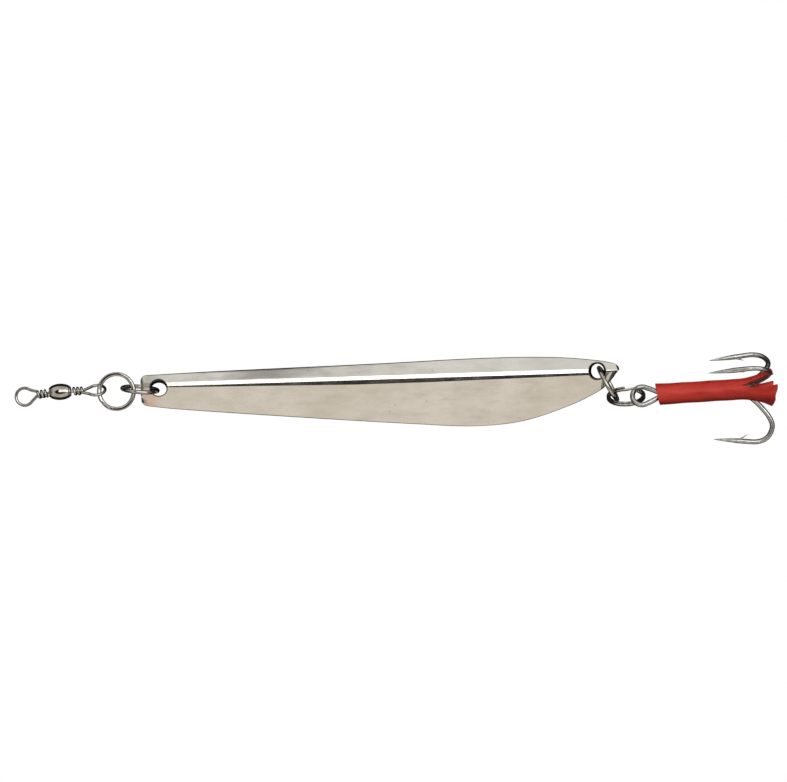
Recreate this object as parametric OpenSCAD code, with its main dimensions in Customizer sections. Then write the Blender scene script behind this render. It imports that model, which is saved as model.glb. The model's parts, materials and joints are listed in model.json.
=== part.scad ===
// Three-sided jigging spoon: cast body, ring and barrel swivel at the nose,
// two rings and a brazed treble hook with a soft sleeve at the tail.
// The lure lies on its flat back. The origin is on the back, halfway between the two ring holes,
// +X runs through the holes towards the hook and +Z points up from the back to the ridge.

/* [Body] */
// Distance between the centres of the two ring holes
hole_spacing = 109.3; // [108.8:0.1:109.8]
// Body beyond the centre of the nose hole
nose_overhang = 4.5; // [4.3:0.1:4.7]
// Body beyond the centre of the tail hole
tail_overhang = 5.65; // [5.45:0.05:5.85]
// Height of the ridge above the flat back, halfway along
ridge_h = 5.8; // [5.4:0.1:7]
// How much lower the ridge is at the two ends
ridge_drop = 0.6; // [0.3:0.1:0.8]
// Offset of the ridge from the line through the holes
ridge_y = 0.5; // [0.2:0.1:0.8]
// Width of the bright flat along the ridge
land_w = 1.15; // [0.8:0.05:1.3]
// Height of the side walls below the two faces
side_h = 1.5; // [1.1:0.1:1.8]
// How far up towards the ridge the wall on the narrow side goes, as a share
spine_share = 0.45; // [0.3:0.05:0.5]
// Diameter of the ring holes
hole_d = 3.9; // [3.8:0.05:4]

/* [Rings] */
// Outside diameter of the plain nose ring
nose_ring_od = 9.8; // [9.7:0.05:9.9]
// Outside diameter of the plain tail ring
tail_ring_od = 10.2; // [10.1:0.05:10.25]
// Wire of the two plain rings
ring_wire = 1.05; // [0.95:0.05:1.05]
// Outside diameter of the two split rings
split_od = 9.7; // [9.6:0.05:9.8]
// Width of a split ring's flattened wire, across the ring
split_w = 1.0; // [0.9:0.05:1.05]
// Thickness of a split ring's flattened wire
split_t = 0.56; // [0.5:0.02:0.58]

/* [Swivel] */
// Length of the swivel barrel
barrel_len = 5.6; // [5.4:0.1:5.8]
// Largest diameter of the swivel barrel
barrel_d = 4.1; // [4:0.1:4.3]
// Diameter of the hole at each end of the barrel
mouth_d = 1.45; // [1.4:0.05:1.5]
// Wire of the two swivel eyes
eye_wire = 0.8; // [0.7:0.05:0.8]
// Outside diameter of the two swivel eyes
eye_od = 5.1; // [5:0.05:5.2]
// Turns wrapped round each swivel eye's shank
wraps = 3; // [2:0.5:3]

/* [Treble hook] */
// Wire of the three hooks
hook_wire = 1.25; // [1.15:0.05:1.25]
// Distance from the shank's axis to the outside of a bend
hook_reach = 14; // [13.8:0.1:14.2]
// Outside width of the hook's eye
hook_eye_od = 6; // [5.9:0.05:6.1]
// Upward slope of the shank from the eye to the bends
shank_slope = 8.5; // [8.3:0.1:9]
// Outside diameter of the soft sleeve
sleeve_d = 5.2; // [5:0.1:5.4]

/* [Hidden] */

// Body outline: share of the length from the nose, then the edge's distance from the hole line.
BELLY = [[0, -4.3], [0.077, -5.6], [0.328, -8.75], [0.579, -11.6], [0.696, -12.6],
         [0.797, -11.75], [0.897, -8.25], [0.960, -4.8], [0.98, -2.8], [1, 0.2]];
SPINE = [[0, 3.2], [0.16, 3.6], [0.495, 4.0], [0.73, 4.4], [0.87, 3.9],
         [0.955, 2.75], [0.99, 1.8], [1, 0.9]];
nose_x = -hole_spacing / 2 - nose_overhang;
tail_x = hole_spacing / 2 + tail_overhang;
body_len = tail_x - nose_x;
stations = 54;
back_rise = 3;          // rise of the curved back at the ends, before the flat is cut
back_cut = 0.25;        // depth that the flat takes off the curved back
nose_corner = 1.5;
tail_corner = 0.3;
edge_r = 0.45;          // rounding of the body's long edges
land_fillet = 0.85;     // width of the rounding between the ridge flat and the wide face
rim_w = 0.5;            // width of the rounded rim round each ring hole, on the face
back_rim_w = 1;         // and on the back, where the rings run under the ends

// Places of the rings: centre, then lean from upright and heading, in degrees.
nose_ring_at = [-59.2, -0.25, 4.95];
nose_ring_lean = -8.5;
nose_ring_heading = -7.15;
front_ring_at = [-65.35, -0.55, 2.55];
front_ring_tilt = -4;
front_ring_notch = -105;
tail_ring_at = [57.3, -3.2, 5.15];
tail_ring_lean = -9;
tail_ring_heading = -62;
hook_ring_at = [61.7, -6.55, 4.7];
hook_ring_lean = 26;
hook_ring_heading = -2.15;
hook_ring_notch = 100;
notch_angle = 40;       // arc over which a split ring steps from one turn to the other

barrel_at = [-79.46, -0.1, 2.25];
barrel_heading = 0.45;
lure_eye_roll = -56;
line_eye_heading = 186.6;
line_eye_pitch = 5;
head_x = 1.3;           // distance of each captured head from the barrel's middle
head_d = 2.2;
barrel_wall = 0.5;
wrap_pitch = 0.96;
wrap_start = 1.9;       // from the head's centre to the last wrap
eye_x = 7.8;            // from the head's centre to the centre of the eye

hook_eye_at = [65.4, -6.4, 7.22];
hook_heading = 1.5;
hook_angles = [68.5, 188.5, 308.5];
shank_r = 0.76;         // distance of each shank from the common axis
shank_end = 5.4;        // from the eye's centre to the single hook's cut end
braze_d = 3.1;
braze_start = 5.9;
braze_end = 20.1;
sleeve_start = 3.45;
sleeve_slant = 9;       // how far from square the sleeve is cut at the eye
sleeve_wall = 0.6;
slot_start = 23.6;
flap_start = 23.9;
flap_end = 32.4;
flap_r = 4.7;
slot_w = 2.1;

// ---------- Curves ----------

function unit(v) = v / norm(v);

// Slope of a table of points at one of them.
function slope_at(points, i) =
    let (a = points[max(i - 1, 0)], b = points[min(i + 1, len(points) - 1)])
    (b[1] - a[1]) / (b[0] - a[0]);

// Smooth height of a table of [x, y] points at x.
function smooth(points, x) =
    let (
        i = max([for (k = [0:len(points) - 2]) if (points[k][0] <= x) k]),
        a = points[i],
        b = points[i + 1],
        w = b[0] - a[0],
        t = (x - a[0]) / w
    )
    a[1] * (1 + 2 * t) * (1 - t) * (1 - t) + b[1] * t * t * (3 - 2 * t)
    + w * slope_at(points, i) * t * (1 - t) * (1 - t) - w * slope_at(points, i + 1) * t * t * (1 - t);

// Smooth curve through points, with n steps between each two.
function curve(p, n) = [
    for (i = [0:len(p) - 2], k = [0:n - 1])
    let (
        t = k / n,
        before = i == 0 ? 2 * p[0] - p[1] : p[i - 1],
        after = i == len(p) - 2 ? 2 * p[i + 1] - p[i] : p[i + 2]
    )
    p[i] + t / 2 * ((p[i + 1] - before) + t * ((2 * before - 5 * p[i] + 4 * p[i + 1] - after)
    + t * (3 * (p[i] - p[i + 1]) + after - before))),
    p[len(p) - 1]
];

// Direction of a path at one of its points.
function along(path, i) = unit(path[min(i + 1, len(path) - 1)] - path[max(i - 1, 0)]);

// A side direction carried along a path without twist.
function square_to(side, t) = unit(side - (side * t) * t);
function sides(path, side) = [
    for (i = 0, s = square_to(side, along(path, 0)); i < len(path);
         i = i + 1, s = i < len(path) ? square_to(s, along(path, i)) : s) s
];

function ellipse(a, b, n) = [for (k = [0:n - 1]) [a * cos(360 * k / n), b * sin(360 * k / n)]];

// Closed skin over a row of sections, each a list of the same number of points.
module skin(sections) {
    n = len(sections[0]);
    last = len(sections) - 1;
    walls = [for (i = [0:last - 1], k = [0:n - 1])
        [i * n + k, (i + 1) * n + k, (i + 1) * n + (k + 1) % n, i * n + (k + 1) % n]];
    start_cap = [for (k = [0:n - 1]) k];
    end_cap = [for (k = [n - 1:-1:0]) last * n + k];
    polyhedron([for (s = sections, p = s) p], concat([start_cap], walls, [end_cap]), convexity = 6);
}

// Solid that follows a path: the profile's x lies along side, and grow scales it at each point.
module sweep(path, profile, side, grow) {
    s = sides(path, side);
    skin([
        for (i = [0:len(path) - 1])
        [for (p = profile) path[i] + grow[i] * (p[0] * s[i] + p[1] * cross(along(path, i), s[i]))]
    ]);
}

function same_size(path) = [for (p = path) 1];

// ---------- Body ----------

// What a rounded corner of radius r takes off at a distance d from the end.
function rounding(d, r) = d >= r ? 0 : r - sqrt(r * r - (r - d) * (r - d));

function body_section(x) =
    let (
        s = (x - nose_x) / body_len,
        from_nose = x - nose_x,
        from_tail = tail_x - x,
        corner = rounding(from_nose, nose_corner) + rounding(from_tail, tail_corner),
        low = smooth(BELLY, s) + corner,
        high = smooth(SPINE, s) - corner,
        end = rounding(from_nose, 0.8) + rounding(from_tail, 0.6),
        out = (2 * s - 1),
        back = back_rise * pow(abs(out), 3) - back_cut + 0.5 * end,
        top = ridge_h - ridge_drop * out * out - end,
        room = min(1, (high - low) / 6),
        r = edge_r * room,
        land = land_w / 2 * room * (1 - 0.3 * max(0, out)),
        fillet = land_fillet * room * (1 - 0.5 * abs(out)),
        wall = max(back, 0) + (side_h - 0.5 * abs(out)) * (0.5 + 0.5 * room),
        spine = wall + spine_share * (top - wall)
    )
    [
        [x, low + r, back],
        [x, high - r, back],
        [x, high - 0.3 * r, back + 0.3 * r],
        [x, high, back + r],
        [x, high, spine - r],
        [x, high - 0.2 * r, spine - 0.4 * r],
        [x, high - 0.8 * r, spine],
        [x, ridge_y + land + 0.35 * room, top - 0.22 * room],
        [x, ridge_y + land + 0.15 * room, top - 0.05 * room],
        [x, ridge_y + land, top],
        [x, ridge_y - land, top],
        [x, ridge_y - land - 0.45 * fillet, top - 0.05 * fillet],
        [x, ridge_y - land - fillet, top - 0.22 * fillet],
        [x, low + 0.8 * r, wall],
        [x, low + 0.2 * r, wall - 0.4 * r],
        [x, low, wall - r],
        [x, low, back + r],
        [x, low + 0.3 * r, back + 0.3 * r]
    ];

// The stations crowd together towards the two ends, where the outline turns fastest.
module body_blank() {
    skin([
        for (i = [0:stations])
        body_section((nose_x + tail_x) / 2 - body_len / 2 * cos(180 * i / stations))
    ]);
}

// Ring hole with a rounded rim at both faces.
module ring_hole() {
    top = ridge_h - ridge_drop;
    bottom = back_rise * pow(hole_spacing / body_len, 3) - back_cut;
    r = hole_d / 2;
    function lip(w, a) = [r + w * (1 - cos(a)), w * (1 - sin(a))];
    face_lip = [for (a = [0:15:90]) [lip(rim_w, a)[0], top - lip(rim_w, a)[1]]];
    back_lip = [for (a = [90:-15:0]) [lip(back_rim_w, a)[0], bottom + lip(back_rim_w, a)[1]]];
    rotate_extrude($fn = 48)
    polygon(concat(
        [[0, bottom - 2], [r + back_rim_w, bottom - 2]],
        back_lip,
        face_lip,
        [[r + rim_w, top + 2], [0, top + 2]]));
}

module body() {
    color("silver")
    difference() {
        body_blank();
        translate([nose_x - 1, -20, -5]) cube([body_len + 2, 40, 5]);
        for (side = [-1, 1])
            translate([side * hole_spacing / 2, 0, 0]) ring_hole();
    }
}

// ---------- Rings ----------

module plain_ring(od) {
    rotate_extrude($fn = 72)
    translate([od / 2 - ring_wire / 2, 0]) circle(d = ring_wire, $fn = 24);
}

// Two flat turns that step from the lower to the upper layer at the notch.
module split_ring(notch) {
    r = (split_od - split_w) / 2;
    total = 720 - notch_angle - 4;
    pitch = split_t + 0.04;
    path = [
        for (a = [0:4:total])
        let (u = min(1, max(0, (a - (358 - notch_angle)) / notch_angle)), step = u * u * (3 - 2 * u))
        [r * cos(a + notch), r * sin(a + notch), (step - 0.5) * pitch]
    ];
    profile = [
        for (c = [[1, 1], [-1, 1], [-1, -1], [1, -1]], k = [0, 1])
        let (b = (c[0] * c[1] > 0) == (k == 0) ? [1, 0.6] : [0.7, 1])
        [c[0] * b[0] * split_w / 2, c[1] * b[1] * split_t / 2]
    ];
    sweep(path, profile, [cos(notch), sin(notch), 0], same_size(path));
}

module standing(at, lean, heading) {
    translate(at) rotate([90 - lean, 0, heading]) children();
}

module nose_ring() {
    color("gainsboro") standing(nose_ring_at, nose_ring_lean, nose_ring_heading) plain_ring(nose_ring_od);
}

module front_split_ring() {
    color("gainsboro") translate(front_ring_at) rotate([0, front_ring_tilt, 0]) split_ring(front_ring_notch);
}

module tail_ring() {
    color("gainsboro") standing(tail_ring_at, tail_ring_lean, tail_ring_heading) plain_ring(tail_ring_od);
}

module hook_split_ring() {
    color("gainsboro") standing(hook_ring_at, hook_ring_lean, hook_ring_heading) split_ring(hook_ring_notch);
}

// ---------- Swivel ----------

// One swivel wire: captured head at the origin, shank along +X, eye, and wraps back round the shank.
module swivel_eye() {
    r = (eye_od - eye_wire) / 2;
    gap = eye_wire * 1.03;
    wrap_end = wrap_start + wraps * wrap_pitch;
    touch = 180 - acos(r / (eye_x - wrap_end - 0.5));
    shank = [for (x = [0:wrap_end / 4:wrap_end]) [x, 0, 0]];
    loop = [for (a = [touch:-touch / 9:-touch - 0.1]) [eye_x + r * cos(a), r * sin(a), 0]];
    turns = [
        for (a = [0:20:360 * wraps])
        [wrap_end + 0.1 - wrap_pitch * a / 360, -gap * cos(a), gap * sin(a)]
    ];
    path = concat(shank, loop, turns);
    sweep(path, ellipse(eye_wire / 2, eye_wire / 2, 10), [0, 0, 1], same_size(path));
    rotate([0, 90, 0])
    rotate_extrude($fn = 32)
    polygon([[0, -0.9], [0.7, -0.9], [head_d / 2, -0.45], [head_d / 2, 0.3], [0.75, 0.8], [0, 0.8]]);
}

module lure_eye() {
    color("lightgray")
    translate(barrel_at) rotate([0, 0, barrel_heading])
    translate([head_x, 0, 0]) rotate([lure_eye_roll, 0, 0]) swivel_eye();
}

module line_eye() {
    color("lightgray")
    translate(barrel_at) rotate([0, 0, barrel_heading]) translate([-head_x, 0, 0])
    rotate([0, 0, line_eye_heading - barrel_heading]) rotate([0, line_eye_pitch, 0]) swivel_eye();
}

module swivel_barrel() {
    half = barrel_len / 2;
    rows = 12;
    mouth = mouth_d / 2;
    end_r = mouth + 0.42;
    outer = [
        for (i = [0:rows])
        let (x = -1 + 2 * i / rows)
        [end_r + (barrel_d / 2 - end_r) * pow(1 - x * x, 0.6), x * half]
    ];
    inner_half = half - 0.55;
    inner = [
        for (i = [rows:-1:0])
        let (x = -1 + 2 * i / rows)
        [mouth + (barrel_d / 2 - barrel_wall - mouth) * pow(1 - x * x, 0.3), x * inner_half]
    ];
    color("lightgray")
    translate(barrel_at) rotate([0, 90, barrel_heading])
    rotate_extrude($fn = 48)
    polygon(concat(outer, [[mouth, half]], inner, [[mouth, -half]]));
}

// ---------- Treble hook ----------

// One hook in its own plane: distance along the shank, then distance from the axis.
bend_r = hook_reach - hook_wire / 2;
BEND = [
    [20.5, shank_r], [22.6, shank_r], [24.9, shank_r + 0.5], [27, 2.6], [29.1, 4.9], [30.9, 7.6], [31.4, 10],
    [30.1, 12.4], [27.7, bend_r], [24.7, bend_r - 0.25], [20.9, bend_r - 0.75], [16.9, bend_r - 1.25]
];
point_taper = 6;        // length of the sharpened point
barb_root = 22.9;
barb_len = 2.6;
barb_h = 1.35;

function hook_plane(angle, p) = [p[0], p[1] * cos(angle), p[1] * sin(angle)];

function hook_path(angle, from) = concat(
    [for (x = [from:(BEND[0][0] - from) / 4:BEND[0][0] - 0.1]) hook_plane(angle, [x, shank_r])],
    [for (p = curve(BEND, 5)) hook_plane(angle, p)]
);

// The wire keeps its size up to the point and then comes to a sharp tip.
function hook_taper(path) = [
    for (p = path)
    let (left = norm(p - path[len(path) - 1]))
    left >= point_taper ? 1 : 0.06 + 0.94 * pow(left / point_taper, 0.75)
];

module in_treble() {
    translate(hook_eye_at) rotate([0, 0, hook_heading]) rotate([0, -shank_slope, 0]) children();
}

// Raised sliver of wire behind the point, aimed back at the bend.
module barb(angle) {
    inner = bend_r - 0.75;
    path = [for (t = [0, 0.5, 1])
        hook_plane(angle, [barb_root + barb_len * t, inner - barb_h * t])];
    sweep(path, ellipse(0.42, 0.3, 8), hook_plane(angle, [0, 1]), [1, 0.7, 0.12]);
}

module double_hook() {
    r = (hook_eye_od - hook_wire) / 2;
    mid = (hook_angles[1] + hook_angles[2]) / 2;
    side = [0, -sin(mid), cos(mid)];
    drop = [0, cos(mid), sin(mid)] * shank_r * cos(60);
    neck = shank_r * sin(60);
    first = hook_path(hook_angles[1], shank_end);
    second = hook_path(hook_angles[2], shank_end);
    eye = [for (a = [-128:16:128]) [-r * cos(a), 0, 0] - r * sin(a) * side + drop];
    path = concat([for (k = [len(first) - 1:-1:0]) first[k]], eye, second);
    grow = hook_taper(first);
    back = [for (k = [len(grow) - 1:-1:0]) grow[k]];
    color("darkgray") in_treble() {
        sweep(path, ellipse(hook_wire / 2, hook_wire / 2, 12), hook_plane(mid, [0, 1]),
            concat(back, same_size(eye), grow));
        barb(hook_angles[1]);
        barb(hook_angles[2]);
    }
}

module single_hook() {
    path = hook_path(hook_angles[0], shank_end);
    color("darkgray") in_treble() {
        sweep(path, ellipse(hook_wire / 2, hook_wire / 2, 12), hook_plane(hook_angles[0], [0, 1]),
            hook_taper(path));
        barb(hook_angles[0]);
    }
}

// Solder that fills the space between the three shanks.
module hook_braze() {
    color("lightslategray") in_treble()
    difference() {
        rotate([0, 90, 0]) translate([0, 0, braze_start])
            cylinder(d = braze_d, h = braze_end - braze_start, $fn = 32);
        for (a = hook_angles)
            translate(hook_plane(a, [0, shank_r])) rotate([0, 90, 0])
                cylinder(d = hook_wire + 0.02, h = braze_end + 1, $fn = 24);
    }
}

// Soft tube over the shank, slit three ways where the bends leave it.
module hook_sleeve() {
    r = sleeve_d / 2;
    rows = 8;
    flare = [
        for (i = [0:rows])
        let (t = i / rows)
        [r + (flap_r - r) * t * t, flap_start + (flap_end - flap_start) * t]
    ];
    outside = concat([[r, sleeve_start]], flare);
    inside = [for (k = [len(outside) - 1:-1:0]) [outside[k][0] - sleeve_wall, outside[k][1]]];
    color("firebrick") in_treble()
    difference() {
        rotate([0, 90, 0]) rotate_extrude($fn = 48) polygon(concat(outside, inside));
        translate([sleeve_start, r, 0]) rotate([0, 0, sleeve_slant])
            translate([-2 * r, -4 * r, -2 * r]) cube([2 * r, 6 * r, 4 * r]);
        for (a = hook_angles)
            rotate([a, 0, 0])
            translate([slot_start, 0, -slot_w / 2]) cube([flap_end, 2 * flap_r, slot_w]);
    }
}

body();
nose_ring();
front_split_ring();
lure_eye();
swivel_barrel();
line_eye();
tail_ring();
hook_split_ring();
double_hook();
single_hook();
hook_braze();
hook_sleeve();
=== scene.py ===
"""Three-sided jigging spoon: plated body, rings, barrel swivel and a treble hook in a soft sleeve.

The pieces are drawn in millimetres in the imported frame's own axes: the lure lies on its flat back at
z = 0, +X runs from the nose to the hook and +Z points at the camera.
"""

import json
import math

import bmesh
import bpy
import numpy as np
from mathutils import Matrix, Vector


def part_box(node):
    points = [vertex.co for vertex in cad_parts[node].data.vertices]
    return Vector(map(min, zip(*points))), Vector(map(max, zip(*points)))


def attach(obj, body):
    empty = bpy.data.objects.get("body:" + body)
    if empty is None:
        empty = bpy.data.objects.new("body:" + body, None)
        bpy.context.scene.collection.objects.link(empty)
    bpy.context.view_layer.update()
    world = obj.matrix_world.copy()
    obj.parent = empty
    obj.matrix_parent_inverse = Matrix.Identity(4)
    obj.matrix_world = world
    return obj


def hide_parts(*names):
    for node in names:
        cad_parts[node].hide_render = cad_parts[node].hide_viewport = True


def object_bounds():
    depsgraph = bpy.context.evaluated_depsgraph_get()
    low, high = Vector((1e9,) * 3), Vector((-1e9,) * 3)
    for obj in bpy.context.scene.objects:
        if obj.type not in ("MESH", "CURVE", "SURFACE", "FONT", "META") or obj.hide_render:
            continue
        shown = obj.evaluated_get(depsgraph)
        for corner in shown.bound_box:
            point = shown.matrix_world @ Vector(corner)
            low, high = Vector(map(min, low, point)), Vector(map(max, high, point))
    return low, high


MM = 0.001

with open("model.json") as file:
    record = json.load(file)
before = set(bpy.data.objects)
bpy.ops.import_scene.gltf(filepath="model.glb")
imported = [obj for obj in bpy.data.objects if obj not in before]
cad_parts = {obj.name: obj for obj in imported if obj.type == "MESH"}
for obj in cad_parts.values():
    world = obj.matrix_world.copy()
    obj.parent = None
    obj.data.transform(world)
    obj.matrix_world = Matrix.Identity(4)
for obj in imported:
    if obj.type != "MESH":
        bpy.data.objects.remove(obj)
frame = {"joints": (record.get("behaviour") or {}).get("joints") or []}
cad_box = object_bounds()
JOINTS = {j["name"]: j for j in frame["joints"]}


# ---------- Sizes, in millimetres and degrees ----------

# Body: its ends come from the frame, the outline is (share of the length, distance from the hole line).
# A reach is how far the rounding of a corner of the section goes along its two sides.
BODY_LOW, BODY_HIGH = (np.array(corner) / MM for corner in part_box("body"))
NOSE_X, TAIL_X = BODY_LOW[0], BODY_HIGH[0]
BODY_LEN = TAIL_X - NOSE_X
RIDGE_H = BODY_HIGH[2]
BELLY = [(0, -4.3), (0.077, -5.6), (0.328, -8.75), (0.579, -11.6), (0.696, -12.6),
         (0.797, -11.75), (0.897, -8.25), (0.960, -4.8), (0.98, -2.8), (1, 0.2)]
SPINE = [(0, 3.2), (0.16, 3.6), (0.495, 4.0), (0.73, 4.4), (0.87, 3.9),
         (0.955, 2.75), (0.99, 1.8), (1, 0.9)]
RIDGE_DROP = 0.6
RIDGE_Y = 0.45
RIDGE_DRIFT = 0.35
LAND_W = 0.95
LAND_TAIL_SHARE = 0.22
LAND_TAIL_END, LAND_TAIL_LEN = 3, 4
FULL_SECTION_W = 6
SIDE_H = 1.5
SIDE_DROP = 0.5
SPINE_SHARE = 0.45
BACK_RISE = 3
BACK_CUT = 0.25
NOSE_CORNER, NOSE_END_R = 1.5, 0.8
TAIL_CORNER, TAIL_END_R = 0.3, 0.6
NOSE_RAMP = 0.36
NOSE_RAMP_LEN = 2.6
BEVEL_AT = (0, 0.1, 0.45, 0.6, 0.95, 1)
BEVEL_W = (0.2, 0.38, 1.1, 1.05, 0.55, 0.3)
BEVEL_SLOPE = 9
EDGE_REACH = 0.315
LAND_REACH = 0.08
BEVEL_REACH = 0.06
CROWN = 0.04
STATIONS = 260

# Ring holes: the bore's middle from the joint, its half width along X and Y, and the lip's width
# towards +X, +Y, -X and -Y.
NOSE_HOLE = dict(middle=(0, -0.4), half=(1.95, 1.6), lip=(0.42, 0.9, 0.15, 0.15))
TAIL_HOLE = dict(middle=(0.35, 0.05), half=(1.6, 1.8), lip=(0.3, 0.55, 1.0, 0.15))
LIP_STEEPNESS = 2.8
BORE_MIN = 1.15
FLARE_R = 2.95
CUTTER_BELOW, CUTTER_ABOVE = 3, 2

# Rings: centre, turn of the ring's flat, and the wire.
RING_WIRE = 1.05
SEAM_GAP = 0.05
NOSE_RING = dict(at=(-59.2, -0.25, 4.95), lean=-8.5, heading=-7.15, od=9.8, seam=112)
TAIL_RING = dict(at=(57.3, -3.2, 5.15), lean=-9, heading=-62, od=10.2, seam=-75)
SPLIT_OD = 9.7
SPLIT_W = 1.0
SPLIT_T = 0.56
SPLIT_AIR = 0.04
COIL_ANGLE = 676
STEP_START, STEP_ANGLE = 318, 40
FRONT_RING = dict(at=(-65.35, -0.55, 2.55), tilt=-4, notch=-105)
HOOK_RING = dict(at=(61.7, -6.55, 4.7), lean=26, heading=-2.15, notch=100)

# Swivel.
BARREL_AT = (-79.46, -0.1, 2.25)
BARREL_HEADING = 0.45
BARREL_LEN = 5.4
BARREL_D = 4.1
MOUTH_D = 1.45
LURE_EYE_ROLL = -56
LINE_EYE_TURN = 186.15
LINE_EYE_PITCH = 5
COLLAR_WALL = 0.42
COLLAR_H = 0.12
SHOULDER = 0.87
HEAD_X = 1.3
HEAD_HALF = 0.9
HEAD_ROUND = 0.95
HEAD_SWELL = 1.75
EYE_WIRE = 0.74
EYE_OD = 5.1
EYE_X = 7.8
WRAPS = 2.5
WRAP_PITCH = 0.94
WRAP_START = 1.9

# Treble hook, in its own axes: +X along the shank from the eye to the bends.
TREBLE_AT = (65.4, -6.4, 7.22)
TREBLE_HEADING = 1.5
SHANK_SLOPE = 8.5
HOOK_ANGLES = (68.5, 188.5, 308.5)
HOOK_WIRE = 1.25
HOOK_REACH = 14
HOOK_EYE_OD = 6
SHANK_R = 0.76
SHANK_END = 5.4
POINT_TAPER = 6
BARB_ROOT = 22.9
BARB_LEN = 2.6
BARB_H = 1.35
BARB_BURIED = 0.12
BRAZE_D = 3.1
BRAZE_START, BRAZE_END = 5.9, 20.1

# Sleeve.
SLEEVE_R = 2.6
SLEEVE_WALL = 0.6
SLEEVE_START = 3.45
SLEEVE_SLANT = 9
SLOT_START = 23.6
FLAP_END = 32.4
FLAP_R = 4.7
SLOT_W = 2.1


# ---------- Curves and meshes ----------

def rotation(*turns):
    """Rotation matrix from (axis, degrees) turns, the last one applied first."""
    whole = Matrix.Identity(3)
    for axis, degrees in turns:
        whole = whole @ Matrix.Rotation(math.radians(degrees), 3, axis)
    return np.array(whole)


def placed(points, at, turn):
    """Points turned and then moved to a place."""
    return np.asarray(points, float) @ turn.T + np.asarray(at, float)


def joint_place(name):
    """Where a joint is in plan, in millimetres."""
    return np.array(JOINTS[name]["pos_m"][:2]) / MM


def unit(v):
    return v / np.linalg.norm(v)


def ease(t):
    """Smooth step from 0 at t = 0 to 1 at t = 1."""
    t = np.clip(t, 0, 1)
    return t * t * (3 - 2 * t)


def outline(points, s):
    """Smooth height of a table of points at s."""
    i = max(k for k in range(len(points) - 1) if points[k][0] <= s)
    (x0, y0), (x1, y1) = points[i], points[i + 1]

    def slope(k):
        (a, p), (b, q) = points[max(k - 1, 0)], points[min(k + 1, len(points) - 1)]
        return (q - p) / (b - a)

    w = x1 - x0
    t = (s - x0) / w
    return (y0 * (1 + 2 * t) * (1 - t) ** 2 + y1 * t * t * (3 - 2 * t)
            + w * slope(i) * t * (1 - t) ** 2 - w * slope(i + 1) * t * t * (1 - t))


def curve(points, n):
    """Smooth curve through points, with n steps between each two."""
    p = [np.array(q, float) for q in points]
    out = []
    for i in range(len(p) - 1):
        before = p[i - 1] if i else 2 * p[0] - p[1]
        after = p[i + 2] if i + 2 < len(p) else 2 * p[i + 1] - p[i]
        for k in range(n):
            t = k / n
            out.append(p[i] + t / 2 * ((p[i + 1] - before)
                                       + t * ((2 * before - 5 * p[i] + 4 * p[i + 1] - after)
                                              + t * (3 * (p[i] - p[i + 1]) + after - before))))
    out.append(p[-1])
    return out


def resampled(path, step):
    """The same line with its points a step apart."""
    path = np.array(path, float)
    run = np.concatenate([[0], np.cumsum(np.linalg.norm(np.diff(path, axis=0), axis=1))])
    n = max(2, int(round(run[-1] / step)))
    at = np.linspace(0, run[-1], n + 1)
    return np.stack([np.interp(at, run, path[:, k]) for k in range(3)], axis=1)


def relaxed(path, passes):
    """Rounds the kinks of a line, as wire bends round a tool."""
    path = np.array(path, float)
    for _ in range(passes):
        path[1:-1] = (path[:-2] + 2 * path[1:-1] + path[2:]) / 4
    return path


def sides(path, side, closed=False):
    """A side direction and a third one at each point, carried along the path without twist."""
    n = len(path)
    first, second = [], []
    s = np.array(side, float)
    for i in range(n):
        if closed:
            t = unit(path[(i + 1) % n] - path[i - 1])
        else:
            t = unit(path[min(i + 1, n - 1)] - path[max(i - 1, 0)])
        s = unit(s - s.dot(t) * t)
        first.append(s)
        second.append(np.cross(t, s))
    return np.array(first), np.array(second)


def skin(rows, closed=False):
    """Vertices and faces over rows of points: a tube with flat ends, or a closed loop."""
    rows = np.asarray(rows, float)
    m, n = rows.shape[:2]
    faces = []
    for i in range(m if closed else m - 1):
        j = (i + 1) % m
        for k in range(n):
            k2 = (k + 1) % n
            faces.append((i * n + k, i * n + k2, j * n + k2, j * n + k))
    if not closed:
        faces.append(tuple(range(n - 1, -1, -1)))
        faces.append(tuple((m - 1) * n + k for k in range(n)))
    return rows.reshape(-1, 3), faces


def sweep(path, profile, side, grow=None, closed=False, end_round=0.0):
    """Solid that follows a path; the profile's first number lies along side.

    profile is a list of (a, b), or a function of the point's index. end_round rounds a cut end's rim.
    """
    path = np.array(path, float)
    grow = np.ones(len(path)) if grow is None else np.array(grow, float)
    s, b = sides(path, side, closed)
    shape = profile if callable(profile) else (lambda i: profile)
    rows = []
    for i in range(len(path)):
        p = np.array(shape(i), float) * grow[i]
        rows.append(path[i] + p[:, :1] * s[i] + p[:, 1:] * b[i])
    if end_round and not closed:
        rows = rounded_ends(rows, path, end_round)
    return skin(rows, closed)


def rounded_ends(rows, path, r):
    """Adds shrinking rows past both ends, so that a cut end has a rounded rim."""
    def cap(row, centre, out):
        reach = np.linalg.norm(row - centre, axis=1).max()
        extra = []
        for a in (30, 60, 90):
            share = 1 - r / reach * (1 - math.cos(math.radians(a)))
            extra.append(centre + (row - centre) * share + out * r * math.sin(math.radians(a)))
        return extra

    start = cap(rows[0], path[0], unit(path[0] - path[1]))
    end = cap(rows[-1], path[-1], unit(path[-1] - path[-2]))
    return start[::-1] + list(rows) + end


def ring_of(n):
    """n even angles round a full turn, in radians."""
    return [2 * math.pi * k / n for k in range(n)]


def round_profile(d, n=20):
    return [(d / 2 * math.cos(a), d / 2 * math.sin(a)) for a in ring_of(n)]


def lathe(profile, n=64):
    """Closed solid of revolution about X from a closed profile of (x, radius)."""
    rows = [[(x, r * math.cos(a), r * math.sin(a)) for x, r in profile] for a in ring_of(n)]
    return skin(rows, closed=True)


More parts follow.
